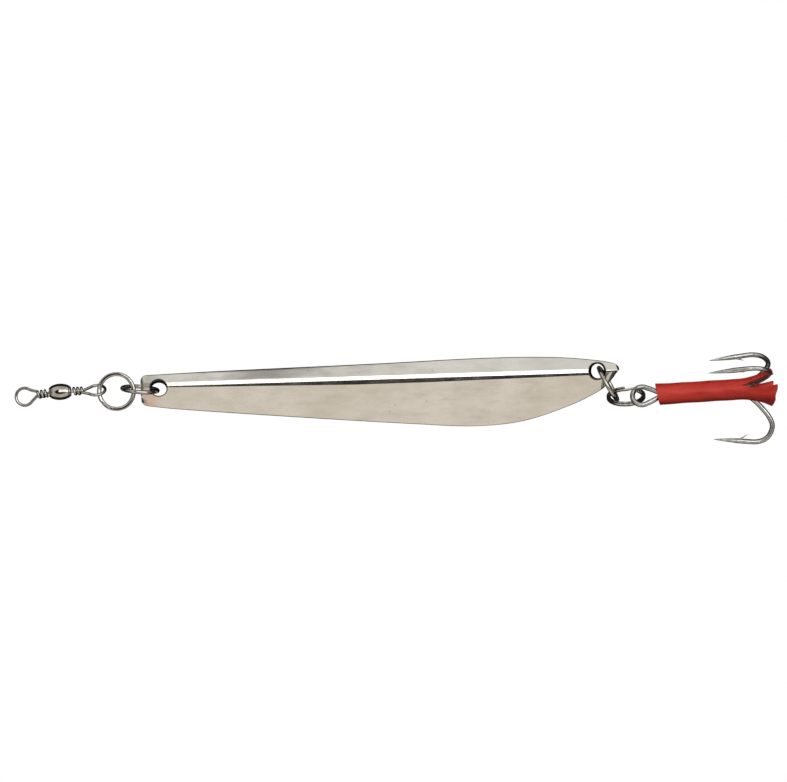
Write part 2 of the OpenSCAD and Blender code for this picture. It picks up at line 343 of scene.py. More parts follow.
def joined(*meshes):
    """Several meshes as one."""
    verts, faces = [], []
    for v, f in meshes:
        base = sum(len(q) for q in verts)
        verts.append(np.asarray(v, float))
        faces += [tuple(i + base for i in face) for face in f]
    return np.concatenate(verts), faces


def new_mesh(name, verts, faces):
    """An object from points in millimetres, with its faces turned outwards."""
    mesh = bpy.data.meshes.new(name)
    mesh.from_pydata([tuple(v * MM) for v in np.asarray(verts, float)], [], faces)
    bm = bmesh.new()
    bm.from_mesh(mesh)
    bmesh.ops.recalc_face_normals(bm, faces=bm.faces)
    bm.to_mesh(mesh)
    bm.free()
    obj = bpy.data.objects.new(name, mesh)
    bpy.context.scene.collection.objects.link(obj)
    return obj


def applied(obj):
    """Puts the result of an object's modifiers into its mesh."""
    evaluated = obj.evaluated_get(bpy.context.evaluated_depsgraph_get())
    mesh = bpy.data.meshes.new_from_object(evaluated)
    obj.modifiers.clear()
    obj.data = mesh
    return obj


def piece(obj, body, material, nodes, sharp=40):
    """Finishes a piece: smooth faces with sharp corners, its material and body, and hides its CAD nodes."""
    for polygon in obj.data.polygons:
        polygon.use_smooth = True
    obj.data.set_sharp_from_angle(angle=math.radians(sharp))
    obj.data.materials.clear()
    obj.data.materials.append(material)
    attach(obj, body)
    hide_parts(*nodes)
    return obj


# ---------- Materials ----------

class Nodes:
    """A short way to write shader nodes; place is the coordinate that they read."""

    def __init__(self, tree, coordinate):
        self.tree = tree
        self.place = tree.nodes.new("ShaderNodeTexCoord").outputs[coordinate]

    def put(self, socket, value):
        if isinstance(value, bpy.types.NodeSocket):
            self.tree.links.new(value, socket)
        else:
            socket.default_value = value

    def node(self, kind, **inputs):
        made = self.tree.nodes.new(kind)
        for key, value in inputs.items():
            self.put(made.inputs[key], value)
        return made.outputs[0]

    def stretched(self, scale, turn=(0, 0, 0)):
        """The place, scaled per axis in features per metre."""
        return self.node("ShaderNodeMapping", Vector=self.place, Scale=scale, Rotation=turn)

    def noise(self, scale, detail=4, roughness=0.55, vector=None):
        return self.node("ShaderNodeTexNoise", Vector=vector or self.place, Scale=scale,
                         Detail=detail, Roughness=roughness)

    def spread(self, value, low, high, to_low=0.0, to_high=1.0):
        made = self.tree.nodes.new("ShaderNodeMapRange")
        for key, number in (("Value", value), ("From Min", low), ("From Max", high),
                            ("To Min", to_low), ("To Max", to_high)):
            self.put(made.inputs[key], number)
        return made.outputs[0]

    def math(self, operation, a, b=0.0):
        made = self.tree.nodes.new("ShaderNodeMath")
        made.operation = operation
        self.put(made.inputs[0], a)
        self.put(made.inputs[1], b)
        return made.outputs[0]

    def mix(self, share, a, b):
        made = self.tree.nodes.new("ShaderNodeMix")
        made.data_type = "RGBA"
        self.put(made.inputs["Factor"], share)
        self.put(made.inputs["A"], a)
        self.put(made.inputs["B"], b)
        return made.outputs["Result"]

    def near(self, x, y, full, none):
        """1 within full millimetres of an upright line through (x, y), falling to 0 at none."""
        away = self.tree.nodes.new("ShaderNodeVectorMath")
        away.operation = "DISTANCE"
        self.put(away.inputs[0], self.stretched((1, 1, 0)))
        self.put(away.inputs[1], (x * MM, y * MM, 0))
        return self.spread(away.outputs["Value"], full * MM, none * MM, 1.0, 0.0)

    def bump(self, height, strength, distance, under=None):
        made = self.tree.nodes.new("ShaderNodeBump")
        self.put(made.inputs["Height"], height)
        made.inputs["Strength"].default_value = strength
        made.inputs["Distance"].default_value = distance * MM
        if under is not None:
            self.tree.links.new(under, made.inputs["Normal"])
        return made.outputs["Normal"]


class MaterialNodes(Nodes):
    """The nodes of a new material, which read the place on the object."""

    def __init__(self, name):
        self.material = bpy.data.materials.new(name)
        self.material.use_nodes = True
        super().__init__(self.material.node_tree, "Object")
        self.shader = self.tree.nodes["Principled BSDF"]

    def finish(self, **inputs):
        for key, value in inputs.items():
            self.put(self.shader.inputs[key.replace("_", " ")], value)
        return self.material


def colour(r, g, b):
    return (r, g, b, 1)


def plated_body():
    """Nickel over a hand-finished casting: polishing lines, blotches, pits, painted reflections tinting the
    nose end, painted shade in the ring holes.
    """
    n = MaterialNodes("nickel_plated_body")
    lines = n.noise(1, 6, 0.7, n.stretched((90, 5200, 5200)))
    drawn = n.noise(1, 3, 0.6, n.stretched((16, 700, 700), (0, 0, 0.03)))
    waves = n.noise(95, 3, 0.5)
    blotch = n.noise(1, 5, 0.62, n.stretched((170, 420, 420)))
    speckle = n.noise(3000, 3, 0.7)
    pits = n.node("ShaderNodeTexVoronoi", Vector=n.place, Scale=420, Randomness=1.0)
    pit = n.math("MULTIPLY", n.spread(pits, 0.0, 0.13, 1.0, 0.0), n.spread(n.noise(130, 2), 0.52, 0.62))

    tone = n.mix(n.spread(waves, 0.3, 0.7), colour(0.72, 0.70, 0.65), colour(0.84, 0.82, 0.79))
    tone = n.mix(n.spread(blotch, 0.42, 0.72, 0.0, 0.5), tone, colour(0.62, 0.59, 0.53))
    tone = n.mix(n.spread(speckle, 0.5, 0.8, 0.0, 0.35), tone, colour(0.50, 0.47, 0.42))
    tone = n.mix(n.spread(lines, 0.55, 0.8, 0.0, 0.3), tone, colour(0.52, 0.50, 0.46))
    # Painted reflection: a pink tint and a green tint at the nose end, broken up by the blotches, stand in
    # for coloured reflections.
    painted_pink_reflection = n.near(NOSE_X + 2.6, -2.9, 0.6, 3.4)
    painted_green_reflection = n.near(NOSE_X + 1.6, 1.6, 0.8, 3.6)
    blotched = n.spread(blotch, 0.35, 0.6, 0.3, 1.0)
    tone = n.mix(n.math("MULTIPLY", painted_pink_reflection, blotched), tone, colour(0.74, 0.50, 0.42))
    tone = n.mix(n.math("MULTIPLY", painted_green_reflection, blotched), tone, colour(0.50, 0.52, 0.45))
    tone = n.mix(n.math("MULTIPLY", pit, 0.7), tone, colour(0.26, 0.23, 0.20))
    # Painted shade: a near-black disc over each ring hole darkens its bore and lip, where shade falls in the
    # hollow.
    for joint in ("nose_ring_swing", "tail_ring_swing"):
        x, y = joint_place(joint)
        tone = n.mix(n.near(x + 0.05, y, 2.1, 2.4), tone, colour(0.055, 0.048, 0.042))

    rough = n.math("ADD", n.spread(blotch, 0.35, 0.75, 0.09, 0.24), n.spread(lines, 0.4, 0.8, 0.0, 0.08))
    height = n.math("ADD", n.math("MULTIPLY", lines, 0.3), n.math("MULTIPLY", drawn, 0.7))
    normal = n.bump(height, 0.35, 0.012)
    normal = n.bump(waves, 0.4, 0.06, normal)
    normal = n.bump(n.math("MULTIPLY", pit, -1.0), 0.6, 0.03, normal)
    return n.finish(Base_Color=tone, Metallic=1.0, Roughness=rough, Normal=normal)


def bright_wire(name, light, dark, rough, rough_high):
    """Nickel-plated wire: faint drawing marks, handling smears and small dull spots."""
    n = MaterialNodes(name)
    smear = n.noise(650, 4, 0.6)
    grain = n.noise(4200, 3, 0.6)
    spots = n.spread(n.noise(1500, 2), 0.62, 0.7)
    tone = n.mix(n.spread(smear, 0.35, 0.7), dark, light)
    tone = n.mix(n.math("MULTIPLY", spots, 0.35), tone, colour(0.35, 0.32, 0.28))
    return n.finish(Base_Color=tone, Metallic=1.0,
                    Roughness=n.spread(smear, 0.3, 0.75, rough, rough_high),
                    Normal=n.bump(n.math("ADD", grain, smear), 0.2, 0.008))


def tinned_wire():
    """Satin tinned hook wire: a mottled grey skin with fine drips and bare specks."""
    n = MaterialNodes("tinned_hook_wire")
    mottle = n.noise(900, 5, 0.62)
    drips = n.noise(1, 4, 0.6, n.stretched((320, 1600, 1600)))
    specks = n.spread(n.noise(2600, 2), 0.63, 0.72)
    tone = n.mix(n.spread(mottle, 0.3, 0.7), colour(0.36, 0.36, 0.35), colour(0.64, 0.64, 0.62))
    tone = n.mix(n.math("MULTIPLY", specks, 0.5), tone, colour(0.12, 0.115, 0.10))
    height = n.math("ADD", mottle, n.math("MULTIPLY", drips, 0.8))
    return n.finish(Base_Color=tone, Metallic=1.0, Roughness=n.spread(drips, 0.3, 0.7, 0.14, 0.34),
                    Normal=n.bump(height, 0.45, 0.03))


def solder():
    """Dull tinned solder with soft lumps."""
    n = MaterialNodes("dull_solder")
    lumps = n.noise(700, 4, 0.6)
    tone = n.mix(n.spread(lumps, 0.3, 0.7), colour(0.42, 0.40, 0.36), colour(0.66, 0.64, 0.59))
    return n.finish(Base_Color=tone, Metallic=1.0, Roughness=n.spread(lumps, 0.3, 0.7, 0.35, 0.55),
                    Normal=n.bump(lumps, 0.5, 0.08))


def red_pvc():
    """Soft red PVC: extrusion lines along the tube, cloudy tone, dust and scuffs."""
    n = MaterialNodes("soft_red_pvc")
    cloud = n.noise(1, 4, 0.65, n.stretched((130, 620, 620)))
    grain = n.noise(3800, 3, 0.6)
    drawn = n.noise(1, 3, 0.6, n.stretched((60, 2100, 2100)))
    dust = n.spread(n.noise(2400, 3, 0.7), 0.64, 0.76)
    tone = n.mix(n.spread(cloud, 0.3, 0.7), colour(0.60, 0.032, 0.022), colour(0.80, 0.066, 0.046))
    tone = n.mix(n.math("MULTIPLY", dust, 0.22), tone, colour(0.75, 0.32, 0.27))
    height = n.math("ADD", n.math("MULTIPLY", grain, 0.5), drawn)
    n.shader.inputs["Subsurface Weight"].default_value = 0.05
    n.shader.inputs["Subsurface Radius"].default_value = (1.0, 0.12, 0.08)
    n.shader.inputs["Subsurface Scale"].default_value = 0.6 * MM
    n.shader.inputs["IOR"].default_value = 1.48
    n.shader.inputs["Specular IOR Level"].default_value = 0.3
    return n.finish(Base_Color=tone, Roughness=n.spread(cloud, 0.3, 0.7, 0.30, 0.46),
                    Normal=n.bump(height, 0.4, 0.025))


NICKEL_BODY = plated_body()
RING_STEEL = bright_wire("nickel_ring_wire", colour(0.64, 0.62, 0.59), colour(0.40, 0.38, 0.355), 0.03, 0.09)
SWIVEL_NICKEL = bright_wire("nickel_swivel", colour(0.60, 0.575, 0.535), colour(0.36, 0.34, 0.31), 0.03, 0.09)
HOOK_STEEL = tinned_wire()
SOLDER = solder()
RED_PVC = red_pvc()


# ---------- Body ----------

def rounding(d, r):
    """What a rounded corner of radius r takes off at a distance d from the end."""
    return 0 if d >= r else r - math.sqrt(r * r - (r - d) ** 2)


def body_corners(x):
    """The section's corners at x, each with how far its rounding reaches, from the back's -Y edge."""
    s = (x - NOSE_X) / BODY_LEN
    from_nose, from_tail = x - NOSE_X, TAIL_X - x
    corner = rounding(from_nose, NOSE_CORNER) + rounding(from_tail, TAIL_CORNER)
    low = outline(BELLY, s) + corner
    high = outline(SPINE, s) - corner
    end = rounding(from_nose, NOSE_END_R) + rounding(from_tail, TAIL_END_R)
    out = 2 * s - 1
    back = BACK_RISE * abs(out) ** 3 - BACK_CUT + 0.5 * end
    top = RIDGE_H - RIDGE_DROP * out * out - end - NOSE_RAMP * max(0, NOSE_RAMP_LEN - from_nose)
    room = min(1, (high - low) / FULL_SECTION_W)
    reach = EDGE_REACH * room
    widening = ease((from_tail - LAND_TAIL_END) / LAND_TAIL_LEN)
    land = LAND_W / 2 * room * (LAND_TAIL_SHARE + (1 - LAND_TAIL_SHARE) * widening)
    ridge_y = RIDGE_Y - RIDGE_DRIFT * out
    bevel = room * np.interp(s, BEVEL_AT, BEVEL_W)
    bevel_drop = bevel * math.tan(math.radians(BEVEL_SLOPE))
    wall = max(back, 0) + (SIDE_H - SIDE_DROP * abs(out)) * (0.5 + 0.5 * room)
    spine = wall + SPINE_SHARE * (top - wall)
    back = max(back, 0)
    return [
        ((low, back), reach),
        ((high, back), reach),
        ((high, spine), reach),
        ((ridge_y + land, top), LAND_REACH * room),
        ((ridge_y - land, top), BEVEL_REACH * room),
        ((ridge_y - land - bevel, top - bevel_drop), BEVEL_REACH * room),
        ((low, wall), reach),
    ], room


# The side of the section that follows the bevel's lower corner.
WIDE_FACE = 5


def body_section(x, steps=6, flat_steps=7):
    """The section's points at x, with rounded corners and a slightly crowned wide face."""
    corners, room = body_corners(x)
    n = len(corners)
    points = []
    for i, (corner, reach) in enumerate(corners):
        c = np.array(corner)
        before = np.array(corners[i - 1][0])
        after = np.array(corners[(i + 1) % n][0])
        a = c + unit(before - c) * reach
        b = c + unit(after - c) * reach
        for k in range(steps + 1):
            t = k / steps
            points.append((1 - t) ** 2 * a + 2 * t * (1 - t) * c + t * t * b)
        nxt, next_reach = corners[(i + 1) % n]
        start, stop = b, np.array(nxt) + unit(c - np.array(nxt)) * next_reach
        face = unit(stop - start)
        normal = np.array((face[1], -face[0]))
        crowned = CROWN * room if i == WIDE_FACE else 0
        for k in range(1, flat_steps):
            t = k / flat_steps
            points.append(start + (stop - start) * t + normal * crowned * 4 * t * (1 - t))
    return points


def surface(x, y):
    """Height of the body's upper side at (x, y)."""
    points = np.array(body_section(x))
    half_height = (points[:, 1].min() + points[:, 1].max()) / 2
    upper = points[points[:, 1] >= half_height]
    upper = upper[np.argsort(upper[:, 0])]
    return float(np.interp(y, upper[:, 0], upper[:, 1]))


def ring_hole(at, hole, columns=72, steps=6):
    """Cutter for a ring hole: an oval bore, a rounded lip on the face and a wide flare at the back.

    The lip is steep, so it looks dark from above.
    """
    bottom = body_corners(at[0])[0][0][0][1]
    angles = [math.radians(90 * k / steps) for k in range(steps + 1)]
    east, north, west, south = hole["lip"]
    cutter = []
    for a in ring_of(columns):
        c, s = math.cos(a), math.sin(a)
        way = np.array((c, s))
        lip = (east * max(c, 0) ** 2 + north * max(s, 0) ** 2
               + west * max(-c, 0) ** 2 + south * max(-s, 0) ** 2)
        bore = at + np.array(hole["middle"]) + np.array(hole["half"]) * way
        rim = bore + lip * way
        flare = at + FLARE_R * way
        height = surface(rim[0], rim[1])
        depth = min(LIP_STEEPNESS * lip, height - bottom - BORE_MIN)
        column = [(*flare, bottom - CUTTER_BELOW), (*flare, bottom)]
        column += [(*(flare + (bore - flare) * math.sin(t)), bottom + 1 - math.cos(t)) for t in angles[1:]]
        column += [(*(bore + (rim - bore) * (1 - math.cos(t))), height - depth * (1 - math.sin(t)))
                   for t in angles]
        column.append((*rim, RIDGE_H + CUTTER_ABOVE))
        cutter.append(column)
    return new_mesh("cutter", *skin(np.array(cutter).transpose(1, 0, 2)))


def cut(obj, cutter):
    """Takes the cutter's shape out of an object."""
    difference = obj.modifiers.new("hole", "BOOLEAN")
    difference.operation = "DIFFERENCE"
    difference.solver = "EXACT"
    difference.object = cutter
    applied(obj)
    bpy.data.objects.remove(cutter)


def lure_body():
    """The casting: sections that crowd together towards the ends, with the two ring holes cut through."""
    stations = [NOSE_X + BODY_LEN * (1 - math.cos(math.pi * i / STATIONS)) / 2 for i in range(STATIONS + 1)]
    rows = [[(x, y, z) for y, z in body_section(x)] for x in stations]
    body = new_mesh("cast_body", *skin(rows))
    cut(body, ring_hole(joint_place("nose_ring_swing"), NOSE_HOLE))
    cut(body, ring_hole(joint_place("tail_ring_swing"), TAIL_HOLE))
    return piece(body, "lure_body", NICKEL_BODY, ["body"], sharp=32)


# ---------- Rings ----------

def plain_ring(name, node, ring, steps=180):
    """Round wire bent to a ring, with its two cut ends meeting at a seam."""
    r = (ring["od"] - RING_WIRE) / 2
    gap = math.degrees(SEAM_GAP / r)
    path = []
    for k in range(steps + 1):
        a = math.radians(ring["seam"] + gap / 2 + (360 - gap) * k / steps)
        path.append((r * math.cos(a), r * math.sin(a), 0))
    verts, faces = sweep(path, round_profile(RING_WIRE, 24), (0, 0, 1), end_round=0.07)
    turn = rotation(("Z", ring["heading"]), ("X", 90 - ring["lean"]))
    obj = new_mesh(name, placed(verts, ring["at"], turn), faces)
    return piece(obj, node, RING_STEEL, [node])


def split_ring(name, body, node, ring, turn):
    """Two flat turns of flattened wire that step from one layer to the other at the notch."""
    r = (SPLIT_OD - SPLIT_W) / 2
    pitch = SPLIT_T + SPLIT_AIR
    path = []
    for a in np.arange(0, COIL_ANGLE + 1, 2):
        lift = ease((a - STEP_START) / STEP_ANGLE) - 0.5
        t = math.radians(a + ring["notch"])
        path.append((r * math.cos(t), r * math.sin(t), lift * pitch))
    notch = math.radians(ring["notch"])
    side = (math.cos(notch), math.sin(notch), 0)
    profile = [(SPLIT_W / 2 * math.cos(a), SPLIT_T / 2 * math.sin(a)) for a in ring_of(24)]
    verts, faces = sweep(path, profile, side, end_round=0.08)
    obj = new_mesh(name, placed(verts, ring["at"], turn), faces)
    return piece(obj, body, RING_STEEL, [node])


def rings():
    plain_ring("nose_wire_ring", "nose_ring", NOSE_RING)
    plain_ring("tail_wire_ring", "tail_ring", TAIL_RING)
    split_ring("front_split_ring_coil", "front_ring", "front_split_ring", FRONT_RING,
               rotation(("Y", FRONT_RING["tilt"])))
    split_ring("hook_split_ring_coil", "hook_ring", "hook_split_ring", HOOK_RING,
               rotation(("Z", HOOK_RING["heading"]), ("X", 90 - HOOK_RING["lean"])))


# ---------- Swivel ----------

def swivel_eye():
    """One swivel wire along +X: captured head at the origin, shank, eye, and wraps round the shank."""
    r = (EYE_OD - EYE_WIRE) / 2
    gap = EYE_WIRE * 1.03
    wrap_end = WRAP_START + WRAPS * WRAP_PITCH
    touch = 180 - math.degrees(math.acos(r / (EYE_X - wrap_end - 0.5)))
    head_x = np.linspace(-HEAD_HALF, HEAD_HALF, 13)
    head = [(x, 0, 0) for x in head_x]
    shank = [(x, 0, 0) for x in np.linspace(1.0, wrap_end, 12)]
    loop = [(EYE_X + r * math.cos(math.radians(a)), r * math.sin(math.radians(a)), 0)
            for a in np.linspace(touch, -touch, 60)]
    turns = [(wrap_end + 0.1 - WRAP_PITCH * a / 360, -gap * math.cos(math.radians(a)),
              gap * math.sin(math.radians(a))) for a in np.arange(0, 360 * WRAPS + 1, 8)]
    bent = relaxed(resampled(shank + loop + turns, 0.12), 3)
    path = np.concatenate([head, bent])
    swollen = [1 + HEAD_SWELL * math.sqrt(max(0, 1 - (x / HEAD_ROUND) ** 2)) if x < HEAD_HALF else 1
               for x in head_x]
    grow = swollen + [1] * len(bent)
    return sweep(path, round_profile(EYE_WIRE, 16), (0, 0, 1), grow, end_round=0.08)


def swivel_barrel():
    """Swaged bead: an oval shell with a turned collar and a rolled mouth at each end."""
    half = BARREL_LEN / 2
    mouth = MOUTH_D / 2
    collar = mouth + COLLAR_WALL
    outer = []
    for x in np.linspace(-1, 1, 49):
        swell = collar + (BARREL_D / 2 - collar) * (1 - x * x) ** 0.75
        step = ease((abs(x) - SHOULDER) / 0.03)
        outer.append((x * half, swell * (1 - step) + min(swell, collar + COLLAR_H) * step))
    lip = [(half, mouth + 0.3), (half - 0.05, mouth + 0.12), (half - 0.2, mouth)]
    inner = [(x * (half - 0.55), mouth + (BARREL_D / 2 - 0.5 - mouth) * (1 - x * x) ** 0.3)
             for x in np.linspace(1, -1, 25)]
    profile = outer + lip + inner + [(-x, r) for x, r in lip[::-1]]
    return lathe(profile, 72)


def swivel():
    base = rotation(("Z", BARREL_HEADING))
    verts, faces = swivel_barrel()
    barrel = new_mesh("swaged_barrel", placed(verts, BARREL_AT, base), faces)
    piece(barrel, "barrel", SWIVEL_NICKEL, ["swivel_barrel"], sharp=50)
    verts, faces = swivel_eye()
    lure = placed(verts, (HEAD_X, 0, 0), rotation(("X", LURE_EYE_ROLL)))
    lure = new_mesh("lure_side_eye", placed(lure, BARREL_AT, base), faces)
    piece(lure, "lure_eye", SWIVEL_NICKEL, ["lure_eye"], sharp=60)
    line = placed(verts, (-HEAD_X, 0, 0), rotation(("Z", LINE_EYE_TURN), ("Y", LINE_EYE_PITCH)))
    line = new_mesh("line_side_eye", placed(line, BARREL_AT, base), faces)
    piece(line, "line_eye", SWIVEL_NICKEL, ["line_eye"], sharp=60)


# ---------- Treble hook ----------

TREBLE_TURN = rotation(("Z", TREBLE_HEADING), ("Y", -SHANK_SLOPE))
BEND_R = HOOK_REACH - HOOK_WIRE / 2
BEND = [(20.5, SHANK_R), (22.6, SHANK_R), (24.9, SHANK_R + 0.5), (27, 2.6), (29.1, 4.9), (30.9, 7.6),
        (31.4, 10), (30.1, 12.4), (27.7, BEND_R), (24.7, BEND_R - 0.25), (20.9, BEND_R - 0.75),
        (16.9, BEND_R - 1.25)]


def hook_plane(angle, x, r):
    """The point at x along the shank and r out from it, in the plane of the hook at angle."""
    a = math.radians(angle)
    return np.array((x, r * math.cos(a), r * math.sin(a)))


def hook_path(angle, start):
    shank = [hook_plane(angle, x, SHANK_R) for x in np.linspace(start, BEND[0][0], 12)[:-1]]
    bend = [hook_plane(angle, *p) for p in curve(BEND, 10)]
    return shank + bend


def hook_taper(path):
    """The wire keeps its size up to the point and then comes to a sharp tip."""
    left = [np.linalg.norm(p - path[-1]) for p in path]
    return [1 if d >= POINT_TAPER else 0.06 + 0.94 * (d / POINT_TAPER) ** 0.75 for d in left]


def barb(angle):
    """Sliver cut up from the wire behind the point, aimed back at the bend."""
    inner = BEND_R - 0.75
    along = np.linspace(-BARB_BURIED, 1, 12)
    path = [hook_plane(angle, BARB_ROOT + BARB_LEN * t, inner - BARB_H * max(t, 0) ** 1.25) for t in along]
    profile = [(0.42 * math.cos(a), 0.26 * math.sin(a) - 0.05 * math.cos(a) ** 2) for a in ring_of(14)]
    grow = [max(0.06, (1 - max(t, 0)) ** 0.7) for t in along]
    side = np.cross((1, 0, 0), hook_plane(angle, 0, 1))
    return sweep(path, profile, side, grow)


def hook_profile(path, angle):
    """Round wire with slightly forged sides in the bend and a flat where the barb was cut."""
    inward = -hook_plane(angle, 0, 1)
    sweep_side = np.cross((1, 0, 0), hook_plane(angle, 0, 1))
    s, b = sides(np.array(path), sweep_side)

    def shape(i):
        x, r = path[i][0], np.linalg.norm(path[i][1:])
        forged = 1 - 0.12 * ease((x - 25) / 3)
        near = ease((x - BARB_ROOT) / 0.6) * ease((BARB_ROOT + BARB_LEN + 0.3 - x) / 0.3)
        flat = 0.22 * near if r > 0.8 * BEND_R else 0
        points = np.array(round_profile(HOOK_WIRE, 24)) * (forged, 1)
        if flat:
            up = inward.dot(b[i])
            limit = HOOK_WIRE / 2 - flat
            points[:, 1] = np.clip(points[:, 1] * up, -HOOK_WIRE, limit) * up
        return points

    return shape, sweep_side


def one_hook(angle):
    path = hook_path(angle, SHANK_END)
    shape, side = hook_profile(path, angle)
    return sweep(path, shape, side, hook_taper(path), end_round=0.12)


def double_hook():
    """Two hooks from one wire, bent to the eye between them."""
    r = (HOOK_EYE_OD - HOOK_WIRE) / 2
    mid = math.radians((HOOK_ANGLES[1] + HOOK_ANGLES[2]) / 2)
    side = np.array((0, -math.sin(mid), math.cos(mid)))
    outward = np.array((0, math.cos(mid), math.sin(mid)))
    drop = outward * SHANK_R * math.cos(math.radians(60))
    first = hook_path(HOOK_ANGLES[1], SHANK_END)
    second = hook_path(HOOK_ANGLES[2], SHANK_END)
    eye = [np.array((-r * math.cos(math.radians(a)), 0, 0)) - r * math.sin(math.radians(a)) * side + drop
           for a in np.linspace(-128, 128, 60)]
    neck = np.array((SHANK_END - 1.1, 0, 0)) + drop
    apart = 1.15 * side
    path = first[::-1] + [neck + apart] + eye + [neck - apart] + second
    bent = relaxed(path, 2)
    taper = hook_taper(first)
    grow = taper[::-1] + [1] * (len(eye) + 2) + taper
    return sweep(bent, round_profile(HOOK_WIRE, 24), outward, grow)


def braze():
    """Solder that coats the three shanks and fills between them, with a soft edge at each end."""
    rows = []
    start, end = BRAZE_START - 1.5, BRAZE_END + 0.5
    for x in np.linspace(start, end, 60):
        near_end = min(x - start, end - x)
        full = math.sqrt(ease(near_end / 1.4))
        row = []
        for a in ring_of(48):
            lobes = math.cos(3 * (a - math.radians(HOOK_ANGLES[0])))
            lump = 0.04 * math.sin(2.3 * x + 2 * a) * math.sin(1.1 * x - a)
            r = (0.35 + full * (BRAZE_D / 2 - 0.4)) + 0.07 * lobes + lump
            row.append((x, r * math.cos(a), r * math.sin(a)))
        rows.append(row)
    return skin(rows)


def treble_piece(name, mesh, material, node, sharp=50):
    verts, faces = mesh
    obj = new_mesh(name, placed(verts, TREBLE_AT, TREBLE_TURN), faces)
    return piece(obj, "treble", material, [node], sharp)


# ---------- Sleeve ----------

# Petals: middle angle, then how far each one's tip reaches, leans out and turns along its edge.
PETALS = (
    dict(angle=8.5, end=-0.6, flare=1.0, narrow=0.30, wave=0.20, cant=0.5),
    dict(angle=128.5, end=0.0, flare=1.0, narrow=0.0, wave=0.25, cant=-0.7),
    dict(angle=248.5, end=-0.4, flare=0.9, narrow=0.1, wave=0.20, cant=0.3),
)
SLIT_ROOT = SLOT_START + 0.6
SLIT_ROOT_W = 0.06
SLIT_TAPER = 4.4
PETAL_COLUMNS = 18
TUBE_ROWS = 44
FLAP_ROWS = 26


def sleeve_point(petal, share, x, flap):
    """A point of the sleeve's outer face; share runs from -1 to 1 over a petal, flap from 0 to 1."""
    r = SLEEVE_R + (FLAP_R - SLEEVE_R) * petal["flare"] * flap ** 2
    gap = SLIT_ROOT_W + (SLOT_W - SLIT_ROOT_W) * ease((x - SLIT_ROOT) / SLIT_TAPER)
    half = 60 - math.degrees(math.asin(gap / 2 / r))
    half *= 1 - petal["narrow"] * flap ** 1.5
    a = math.radians(petal["angle"] + share * half)
    r += 0.10 * petal["wave"] * math.sin(5 * share + 9 * flap) * flap
    return np.array((x, r * math.cos(a), r * math.sin(a)))


def sleeve_rows():
    """Rows of outer points: along the tube, then along the petals."""
    slant = math.tan(math.radians(SLEEVE_SLANT))
    columns = [(k, s) for k in range(3) for s in np.linspace(-1, 1, PETAL_COLUMNS + 1)]
    rows = []
    for i in range(TUBE_ROWS + 1):
        row = []
        for k, s in columns:
            p = sleeve_point(PETALS[k], s, 0, 0)
            start = SLEEVE_START + slant * (SLEEVE_R - p[1])
            x = start + (SLOT_START - start) * i / TUBE_ROWS
            p[0] = x
            p[1:] *= 1 + 0.010 * math.sin(0.9 * x + 2 * p[1]) + 0.035 * (1 - ease((x - start) / 5))
            row.append(p)
        rows.append(row)
    for j in range(1, FLAP_ROWS + 1):
        flap = j / FLAP_ROWS
        row = []
        for k, s in columns:
            petal = PETALS[k]
            end = FLAP_END + petal["end"] + petal["cant"] * s + 0.12 * math.sin(6 * s)
            row.append(sleeve_point(petal, s, SLOT_START + (end - SLOT_START) * flap, flap))
        rows.append(row)
    return rows


def sleeve():
    """Soft tube pushed over the shanks, slit where the three bends leave it, with flared petals."""
    rows = np.array(sleeve_rows())
    n = rows.shape[1]
    per = PETAL_COLUMNS + 1
    faces = []
    for i in range(len(rows) - 1):
        for k in range(n):
            at_gap = k % per == per - 1
            if at_gap and i >= TUBE_ROWS:
                continue
            k2 = (k + 1) % n
            faces.append((i * n + k, i * n + k2, (i + 1) * n + k2, (i + 1) * n + k))
    obj = new_mesh("slit_red_sleeve", placed(rows.reshape(-1, 3), TREBLE_AT, TREBLE_TURN), faces)
    wall = obj.modifiers.new("wall", "SOLIDIFY")
    wall.thickness = SLEEVE_WALL * MM
    wall.offset = 1
    wall.use_even_offset = True
    edge = obj.modifiers.new("edge", "BEVEL")
    edge.width = 0.09 * MM
    edge.segments = 2
    edge.limit_method = "ANGLE"
    edge.angle_limit = math.radians(50)
    applied(obj)
    return piece(obj, "treble", RED_PVC, ["hook_sleeve"], sharp=60)


def treble():
    first, second = HOOK_ANGLES[1:]
    treble_piece("double_hook_wire", joined(double_hook(), barb(first), barb(second)),
                 HOOK_STEEL, "double_hook")
    treble_piece("single_hook_wire", joined(one_hook(HOOK_ANGLES[0]), barb(HOOK_ANGLES[0])),
                 HOOK_STEEL, "single_hook")
    treble_piece("shank_solder", braze(), SOLDER, "hook_braze")
    sleeve()


# ---------- Studio ----------

def floor():
    """Lit white where the camera sees it; a dark table in everything the metal reflects."""
    size = 2.0
    mesh = bpy.data.meshes.new("floor")
    z = -0.02 * MM
    mesh.from_pydata([(-size, -size, z), (size, -size, z), (size, size, z), (-size, size, z)],
                     [], [(0, 1, 2, 3)])
    obj = bpy.data.objects.new("floor", mesh)
    bpy.context.scene.collection.objects.link(obj)
    n = MaterialNodes("studio_floor")
    n.shader.inputs["Base Color"].default_value = colour(0.05, 0.047, 0.044)
    n.shader.inputs["Specular IOR Level"].default_value = 0.0
    n.shader.inputs["Roughness"].default_value = 0.9
    glow = n.tree.nodes.new("ShaderNodeEmission")
    seen = n.tree.nodes.new("ShaderNodeLightPath").outputs["Is Camera Ray"]
    mixed = n.tree.nodes.new("ShaderNodeMixShader")
    n.tree.links.new(seen, mixed.inputs[0])
    n.tree.links.new(n.shader.outputs[0], mixed.inputs[1])
    n.tree.links.new(glow.outputs[0], mixed.inputs[2])
    n.tree.links.new(mixed.outputs[0], n.tree.nodes["Material Output"].inputs["Surface"])
    mesh.materials.append(n.material)


OVERHEAD_Z = 1
OVERHEAD_RADIANCE = 2.3
OVERHEAD_LOW_X, OVERHEAD_HIGH_X = -0.24, 1.06


